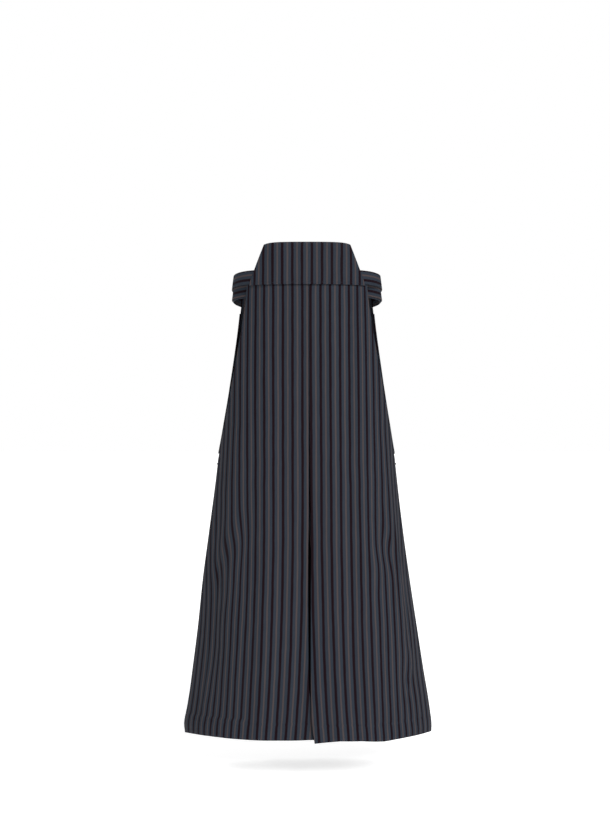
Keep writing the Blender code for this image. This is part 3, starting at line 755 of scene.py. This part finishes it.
def windTie(tie, material):
    high = tie["size"]["high"]
    up = np.linspace(0.5, -0.5, band["rows"])[:, None]
    start, end = tie["ends"](up)
    around = mixed(start, end, np.linspace(0.0, 1.0, tie["size"]["columns"])[None, :])
    fromBack = np.minimum(around, 1.0 - around)
    wave = np.array([
        [noise.noise(Vector((t * tieWave["round"], u * tieWave["across"], tie["start"]))) for t in row]
        for row, u in zip(around, up[:, 0])
    ])
    slack = np.array([
        noise.noise(Vector((t * tieWave["slackRound"], tieWave["slackStart"], tie["start"])))
        for t in around[len(around) // 2]
    ])
    z = tie["height"](fromBack) + high * up + tieWave["slack"] * slack[None, :]
    x, y = roundWaist(around, z, tie["level"](fromBack) + tieWave["high"] * wave)
    points = gridOf(x, y, z)
    run = runOf(np.linalg.norm(np.diff(points[band["rows"] // 2], axis=0), axis=1))
    flat = gridOf(high * up + cutFrom["tie"] * weave["repeat"], run)
    piece = wearCloth(tie["name"], points, flat, cloth["tieShell"], rim=tieEdge)
    finishPiece(piece, tie["node"], material)


# The stiff board at the back, narrower at its head, which is crowned
board = {
    "high": 0.086, "foot": 0.248, "head": 0.176,
    "wall": 0.0040, "cover": 0.0037,                    # thick, as a solid and as it shows
    "footZ": 0.003,
    "crown": 0.004, "crownFrom": 0.7, "crownFlat": 8,
    "edge": 0.0013,
    "gap": 0.0007,                                      # to the back ties
    "columns": 61, "rows": 23,
}


def boardHalf(up):
    return mixed(board["foot"], board["head"], up) / 2


def boardPoints(across, up, out):
    # across runs from -1 to 1, up from 0 at the foot to 1 at the head
    across, up = np.broadcast_arrays(across, up)
    along = across * boardHalf(up)
    crowned = ramp((up - board["crownFrom"]) / (1.0 - board["crownFrom"]))
    crown = board["crown"] * (1.0 - across ** board["crownFlat"]) * crowned
    z = board["footZ"] + (board["high"] - board["crown"]) * up + crown
    x, y = np.empty(z.shape), np.empty(z.shape)
    for side in sides:
        here = (across >= 0.0) == (side == "left")
        x[here], y[here] = wornPoints("back", side, z[here], np.abs(along[here]), -out)
    return gridOf(x, y, z), gridOf(along + cutFrom["board"] * weave["repeat"], z)


def backBoard(material):
    across = np.linspace(1.0, -1.0, board["columns"])[None, :]
    up = np.linspace(1.0, 0.0, board["rows"])[:, None]
    out = cloth["wall"] / 2 + cloth["clear"] + board["wall"] / 2
    points, flat = boardPoints(across, up, out)
    piece = wearCloth("board_cover", points, flat, board["cover"], rim=board["edge"])
    finishPiece(piece, "back_board", material)


def bandEnds(up):
    return np.full_like(up, band["end"]), np.full_like(up, 1.0 - band["end"])


def tieStart(up):
    # the tie is sewn to the board's slanting side
    z = backTie["backZ"] + backTie["high"] * up
    share = (z - board["footZ"]) / (board["high"] - board["crown"])
    return 0.25 * (boardHalf(share) + board["gap"]) / fullLength("back", "left", z)


def leftTieEnds(up):
    return tieStart(up), np.full_like(up, backTie["end"])


def rightTieEnds(up):
    return np.full_like(up, 1.0 - backTie["end"]), 1.0 - tieStart(up)


backTieStart = 0.25 * (boardHalf(0.0) + board["gap"]) / float(fullLength("back", "left", 0.0))


def backTieHeight(fromBack):
    t = ramp((fromBack - backTieStart) / (0.5 - backTieStart))
    return mixed(backTie["backZ"], backTie["frontZ"], t)


# What goes round the waist, from the inside out. "start" is where each one's unevenness starts.
windingColumns = ("name", "node", "size", "ends", "height", "level", "start", "restsOn")
windings = (
    ("waist_band", "front_band", band, bandEnds, bandHeight, bandLevel, 2.0,
     ("panel_front_left", "panel_front_right")),
    ("second_tie_turn", "front_tie_turn", secondTurn, bandEnds, turnHeight, turnLevel, 5.0,
     ("waist_band",)),
    ("back_tie_cloth_left", "back_tie_left", backTie, leftTieEnds, backTieHeight, backTieLevel, 7.0,
     ("second_tie_turn",)),
    ("back_tie_cloth_right", "back_tie_right", backTie, rightTieEnds, backTieHeight, backTieLevel, 9.0,
     ("second_tie_turn",)),
)

# The tie's end folded back and forth into a flat bar, pinched in the middle by the upright
knot = {
    "wide": 0.094, "high": 0.031, "deep": 0.011,
    "cloth": 0.0304,                              # the height that shows
    "layers": 4, "thick": 0.0022,
    "uneven": (0.0, 0.0016, 0.0004, 0.0012),      # how much shorter each layer is
    "pinch": 0.07, "pinchWide": 0.022,
    "edge": 0.0008,
    "rows": 7, "columns": 16, "turn": 7,
}
# The end that passes down over the bar and holds it
knotUpright = {
    "wide": 0.031, "above": 0.018, "below": 0.032,
    "pinch": 0.0024,
    "bends": 0.002, "bendsOver": 0.014,           # where beyond the bar it goes back to the ties
    "bulge": 0.0004, "bulges": 3.0,
    "steps": 61, "columns": 9,
}


def knotSeat(z):
    # how far forward the ties reach at the centre front
    y = wornPoints("front", "left", z, 0.0, -(overFront + 2.0 * turnStep + cloth["tie"] / 2))[1]
    return y - cloth["clear"]


barFront = float(knotSeat(backTie["frontZ"] - backTie["high"] / 2)) - knot["deep"]


def knotBar(material):
    pitch = (knot["deep"] - knot["thick"]) / (knot["layers"] - 1)
    path = []
    for layer in range(knot["layers"]):
        y = barFront + knot["deep"] - knot["thick"] / 2 - pitch * layer
        way = 1.0 if layer % 2 == 0 else -1.0
        end = knot["wide"] / 2 - pitch / 2 - knot["thick"] / 2 - knot["uneven"][layer]
        begin = path[-1][0] if path else -way * end
        for step in range(knot["columns"] + 1):
            path.append((mixed(begin, way * end, step / knot["columns"]), y))
        if layer < knot["layers"] - 1:
            for step in range(1, knot["turn"]):
                angle = math.pi * step / knot["turn"]
                x = end + pitch / 2 * math.sin(angle)
                path.append((way * x, y - pitch / 2 * (1.0 - math.cos(angle))))
    path = np.array(path)
    up = np.linspace(0.5, -0.5, knot["rows"])[:, None]
    pinch = 1.0 - knot["pinch"] * np.exp(-((path[:, 0] / knot["pinchWide"]) ** 2))
    z = backTie["frontZ"] + knot["cloth"] * up * pinch
    run = runOf(np.hypot(*np.diff(path, axis=0).T))
    flat = gridOf(knot["high"] * up + cutFrom["bar"] * weave["repeat"], run)
    points = gridOf(path[:, 0], path[:, 1], z)
    piece = wearCloth("knot_folded_bar", points, flat, knot["thick"], rim=knot["edge"])
    finishPiece(piece, "knot_bar", material)


def knotLoop(material):
    barHead = backTie["frontZ"] + knot["high"] / 2
    barFoot = backTie["frontZ"] - knot["high"] / 2
    z = np.linspace(barHead + knotUpright["above"], barFoot - knotUpright["below"], knotUpright["steps"])
    beyond = np.maximum(0.0, np.maximum(z - barHead, barFoot - z))
    lift = 1.0 - ramp((beyond - knotUpright["bends"]) / knotUpright["bendsOver"])
    y = mixed(knotSeat(z), barFront - cloth["clear"], lift) - cloth["tie"] / 2
    across = np.linspace(-0.5, 0.5, knotUpright["columns"])[None, :]
    x = (knotUpright["wide"] - knotUpright["pinch"] * lift[:, None]) * across
    bulge = knotUpright["bulge"] * np.cos(np.pi * across * knotUpright["bulges"]) * lift[:, None]
    points = gridOf(x, y[:, None] + bulge, z[:, None])
    flat = gridOf(x + cutFrom["upright"] * weave["repeat"], z[:, None])
    piece = wearCloth("knot_upright_end", points, flat, cloth["tieShell"], rim=tieEdge)
    finishPiece(piece, "knot_upright", material)


# A row along the board's foot, which holds it to the back panels
footStitch = {
    "long": 0.0042, "thick": 0.0007, "gap": 0.0034,
    "fromFoot": 0.0045, "fromEnd": 0.006, "sunk": 0.00015,
}
# Close thread wraps where each side opening ends, laid round the side seam
tack = {
    "long": 0.0100, "high": 0.0030, "thick": 0.00132, "count": 9,
    "below": 0.001, "out": 0.0013, "bow": 0.12,
}


def sew(name, stitches, material):
    # each stitch is a place, the way that it runs and its length and thickness
    thread = bmesh.new()
    for place, way, long, thick in stitches:
        aim = Vector(way).to_track_quat("X", "Z").to_matrix().to_4x4()
        size = Matrix.Diagonal((long / 2, thick / 2, thick / 2, 1.0))
        laid = Matrix.Translation(place) @ aim @ size
        bmesh.ops.create_icosphere(thread, subdivisions=2, radius=1.0, matrix=laid)
    piece = shapeObject(name, thread)
    piece.data.materials.append(material)
    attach(piece, "root")


def boardStitches(material):
    up = footStitch["fromFoot"] / board["high"]
    pitch = footStitch["long"] + footStitch["gap"]
    count = int((boardHalf(up) - footStitch["fromEnd"]) / pitch)
    out = cloth["wall"] / 2 + cloth["clear"] + board["wall"] - footStitch["sunk"]
    middles = pitch * np.arange(-count, count + 1)[:, None]
    ends = (middles + np.array([-0.5, 0.5]) * footStitch["long"]) / boardHalf(up)
    places = boardPoints(ends, np.full_like(ends, up), out)[0]
    stitches = []
    for first, last in places:
        stitches.append(((first + last) / 2, last - first, footStitch["long"], footStitch["thick"]))
    sew("board_foot_stitches", stitches, material)


def openingTack(side, material):
    z = heights["opening"] - tack["below"]
    x, y = (float(v[0]) for v in wornPoints("front", side, [z], fullLength("front", side, [z]), 0.0))
    stitches = []
    for number in range(tack["count"]):
        along = (number / (tack["count"] - 1) - 0.5) * tack["long"]
        place = (x + sides[side] * (tack["out"] - abs(along) * tack["bow"]), y + along, z)
        stitches.append((place, (0.0, 0.0, 1.0), tack["high"], tack["thick"]))
    sew(f"opening_tack_{side}", stitches, material)


# Twisted silk sewing thread. Its colour is darkened where the twist's bump is low: painted shade in the
# grooves.
threadLook = {
    "colour": (0.016, 0.018, 0.026), "grooveShade": 0.55,
    "twist": 900.0, "uneven": 1.5,
    "bump": 0.4, "bumpHigh": 0.0001,
    "rough": 0.5, "gloss": 0.2,
}
# The threads of the cloth: how fine each pattern is across and along the cut, and its detail
threads = {
    "wander": (35.0, 5.0, 2.0),
    "waver": (45.0, 24.0, 1.0),
    "warp": (1500.0, 40.0, 1.0),
    "ribs": (500.0, 1700.0, 1.0),
    "slub": (260.0, 30.0, 2.0),
}
# The dyes, and where each stands in one repeat
dyes = {
    "dark": (0.0088, 0.0034, 0.0054),
    "slate": (0.0225, 0.0290, 0.0400),
    "edge": (0.0310, 0.0315, 0.0375),
    "tan": (0.0560, 0.0440, 0.0455),
}
stripeChart = (
    (0.000, "dark"), (0.100, "dark"), (0.165, "slate"), (0.375, "slate"), (0.410, "edge"), (0.440, "tan"),
    (0.560, "tan"), (0.590, "edge"), (0.625, "slate"), (0.840, "slate"), (0.900, "dark"),
)
clothLook = {
    "dyes": dyes,
    "chart": stripeChart,
    "wander": 0.0022, "waver": 0.0014,      # how far the stripes stray, slowly and quickly
    "dyeLots": 0.10, "streak": 0.30,        # how much the repeats and the threads differ
    "bump": 0.35, "ribHigh": 0.0004,
    "rough": 0.70, "roughSpread": 0.16, "gloss": 0.04,
    "sheen": 0.010, "sheenRough": 0.45, "sheenTint": (0.55, 0.62, 0.75),
}
tieLook = dict(clothLook, ribHigh=0.0005, sheen=0.02)
boardLook = dict(clothLook, rough=0.62)


def newMaterial(name):
    material = bpy.data.materials.new(name)
    material.use_nodes = True
    return material, material.node_tree.nodes, material.node_tree.links


def shaded(nodes, links, colour, shade):
    # a colour, plain or from a socket, darkened by a value
    tint = nodes.new("ShaderNodeMix")
    tint.data_type = "RGBA"
    tint.blend_type = "MULTIPLY"
    tint.inputs["Factor"].default_value = 1.0
    if isinstance(colour, tuple):
        tint.inputs["A"].default_value = (*colour, 1.0)
    else:
        links.new(colour, tint.inputs["A"])
    grey = nodes.new("ShaderNodeCombineColor")
    for socket in grey.inputs[:3]:
        links.new(shade, socket)
    links.new(grey.outputs[0], tint.inputs["B"])
    return tint.outputs["Result"]


def addBump(nodes, links, strength, distance, height):
    bump = nodes.new("ShaderNodeBump")
    bump.inputs["Strength"].default_value = strength
    bump.inputs["Distance"].default_value = distance
    links.new(height, bump.inputs["Height"])
    links.new(bump.outputs["Normal"], nodes["Principled BSDF"].inputs["Normal"])


def threadMaterial(name, look):
    material, nodes, links = newMaterial(name)
    shader = nodes["Principled BSDF"]
    place = nodes.new("ShaderNodeTexCoord")
    twist = nodes.new("ShaderNodeTexWave")
    twist.inputs["Scale"].default_value = look["twist"]
    twist.inputs["Distortion"].default_value = look["uneven"]
    links.new(place.outputs["Object"], twist.inputs["Vector"])
    # painted shade: the thread's colour darkens in the twist's grooves, where the bump is low
    shade = nodes.new("ShaderNodeMapRange")
    shade.inputs["To Min"].default_value = look["grooveShade"]
    shade.inputs["To Max"].default_value = 1.0
    links.new(twist.outputs["Fac"], shade.inputs["Value"])
    links.new(shaded(nodes, links, look["colour"], shade.outputs["Result"]), shader.inputs["Base Color"])
    addBump(nodes, links, look["bump"], look["bumpHigh"], twist.outputs["Fac"])
    shader.inputs["Roughness"].default_value = look["rough"]
    shader.inputs["Specular IOR Level"].default_value = look["gloss"]
    return material


def cutMaterial(name, look):
    # threads along and across the cut, the stripes charted once and repeated
    material, nodes, links = newMaterial(name)
    shader = nodes["Principled BSDF"]
    cut = nodes.new("ShaderNodeUVMap")
    cut.uv_map = "weave"

    def calc(operation, first, second=None):
        node = nodes.new("ShaderNodeMath")
        node.operation = operation
        for socket, value in zip(node.inputs, (first, second)):
            if isinstance(value, (int, float)):
                socket.default_value = value
            elif value is not None:
                links.new(value, socket)
        return node.outputs[0]

    def pattern(kind):
        across, along, detail = threads[kind]
        mapping = nodes.new("ShaderNodeMapping")
        mapping.inputs["Scale"].default_value = (across, along, 1.0)
        links.new(cut.outputs["UV"], mapping.inputs["Vector"])
        texture = nodes.new("ShaderNodeTexNoise")
        texture.inputs["Scale"].default_value = 1.0
        texture.inputs["Detail"].default_value = detail
        links.new(mapping.outputs[0], texture.inputs["Vector"])
        return texture.outputs["Fac"]

    def spread(value, amount, middle):
        # a value from 0 to 1 made one that runs this far round a middle
        return calc("ADD", calc("MULTIPLY", value, amount), middle - amount / 2)

    # the stripes
    split = nodes.new("ShaderNodeSeparateXYZ")
    links.new(cut.outputs["UV"], split.inputs[0])
    wander = spread(pattern("wander"), look["wander"], 0.0)
    waver = spread(pattern("waver"), look["waver"], 0.0)
    place = calc("DIVIDE", calc("ADD", split.outputs["X"], calc("ADD", wander, waver)), weave["repeat"])
    chart = nodes.new("ShaderNodeValToRGB")
    chart.color_ramp.interpolation = "LINEAR"
    elements = chart.color_ramp.elements
    elements.remove(elements[1])
    for number, (position, dyeName) in enumerate(look["chart"]):
        stop = elements.new(position) if number else elements[0]
        stop.color = (*look["dyes"][dyeName], 1.0)
    links.new(calc("FRACT", place), chart.inputs["Fac"])

    # each repeat's own dye, and the streaks of its threads
    dye = nodes.new("ShaderNodeTexWhiteNoise")
    dye.noise_dimensions = "1D"
    links.new(calc("FLOOR", place), dye.inputs["W"])
    lot = spread(dye.outputs["Value"], look["dyeLots"], 1.0)
    shade = calc("MULTIPLY", lot, spread(pattern("warp"), look["streak"], 1.0))
    links.new(shaded(nodes, links, chart.outputs["Color"], shade), shader.inputs["Base Color"])

    slub = pattern("slub")
    addBump(nodes, links, look["bump"], look["ribHigh"], calc("ADD", pattern("ribs"), slub))
    links.new(spread(slub, look["roughSpread"], look["rough"]), shader.inputs["Roughness"])
    shader.inputs["Specular IOR Level"].default_value = look["gloss"]
    shader.inputs["Sheen Weight"].default_value = look["sheen"]
    shader.inputs["Sheen Roughness"].default_value = look["sheenRough"]
    shader.inputs["Sheen Tint"].default_value = (*look["sheenTint"], 1.0)
    return material


stripedSilk = cutMaterial("striped_silk", clothLook)
tieSilk = cutMaterial("tie_silk", tieLook)
boardSilk = cutMaterial("board_silk", boardLook)
darkThread = threadMaterial("dark_thread", threadLook)
print("cloth dyed and charted")

for face in faces:
    for side in sides:
        legPanel(face, side, stripedSilk)
print("leg panels hung")
for side in sides:
    gusset(side, stripedSilk)
for side in sides:
    layFold(side, stripedSilk)
print("gussets and opening folds sewn in")
for tie in rowsOf(windings, windingColumns):
    windTie(tie, tieSilk)
print("ties wound")
backBoard(boardSilk)
knotBar(tieSilk)
knotLoop(tieSilk)
print("board and knot set")
boardStitches(darkThread)
for side in sides:
    openingTack(side, darkThread)
print("stitches sewn")

studio = {
    "floor": -1.0, "floorSize": 40.0,
    "white": 0.80, "glow": 0.62, "rough": 0.9,
    "ambient": 0.08,   # how much of the white surround lights the cloth
}
# Azimuth is where a light looks, as the camera's is
lamps = (
    {"name": "key", "strength": 2.95, "soft": 24.0, "azimuth": 209.0, "height": 32.0},
    {"name": "fill", "strength": 0.65, "soft": 30.0, "azimuth": 104.0, "height": 12.0},
    {"name": "far", "strength": 1.9, "soft": 26.0, "azimuth": 24.0, "height": 38.0},
)
# The camera stands behind, a little above the middle of the garment
view = {"lens": 61.5, "place": (0.0042, 2.90, -0.243), "azimuth": 180.0}


def setFloor():
    sheet = bmesh.new()
    bmesh.ops.create_grid(sheet, x_segments=4, y_segments=4, size=studio["floorSize"] / 2)
    bmesh.ops.translate(sheet, verts=sheet.verts[:], vec=(0.0, 0.0, studio["floor"]))
    floor = shapeObject("pale_floor", sheet)
    paint, nodes, links = newMaterial("floor_paint")
    shader = nodes["Principled BSDF"]
    shader.inputs["Base Color"].default_value = (studio["white"],) * 3 + (1.0,)
    shader.inputs["Roughness"].default_value = studio["rough"]
    shader.inputs["Specular IOR Level"].default_value = 0.0
    shader.inputs["Emission Color"].default_value = (1.0, 1.0, 1.0, 1.0)
    shader.inputs["Emission Strength"].default_value = studio["glow"]
    floor.data.materials.append(paint)


def setLights():
    for lamp in lamps:
        data = bpy.data.lights.new(lamp["name"], "SUN")
        data.energy = lamp["strength"]
        data.angle = math.radians(lamp["soft"])
        light = addObject(lamp["name"], data)
        light.rotation_euler = (math.radians(90.0 - lamp["height"]), 0.0, math.radians(lamp["azimuth"]))

    # the camera sees the surround white, and the cloth gets little light from it
    world = bpy.data.worlds.new("studio")
    world.use_nodes = True
    nodes, links = world.node_tree.nodes, world.node_tree.links
    air = nodes["Background"]
    air.inputs["Color"].default_value = (1.0, 1.0, 1.0, 1.0)
    seen = nodes.new("ShaderNodeLightPath")
    level = nodes.new("ShaderNodeMapRange")
    level.inputs["To Min"].default_value = studio["ambient"]
    level.inputs["To Max"].default_value = 1.0
    links.new(seen.outputs["Is Camera Ray"], level.inputs["Value"])
    links.new(level.outputs["Result"], air.inputs["Strength"])
    bpy.context.scene.world = world
    bpy.context.scene.view_settings.view_transform = "Standard"


def setCamera():
    data = bpy.data.cameras.new("camera")
    data.lens = view["lens"]
    camera = addObject("camera", data)
    camera.location = view["place"]
    camera.rotation_euler = (math.radians(90.0), 0.0, math.radians(view["azimuth"]))
    bpy.context.scene.camera = camera


setFloor()
setLights()
setCamera()
print("floor, lights and camera set")
bpy.context.view_layer.update()
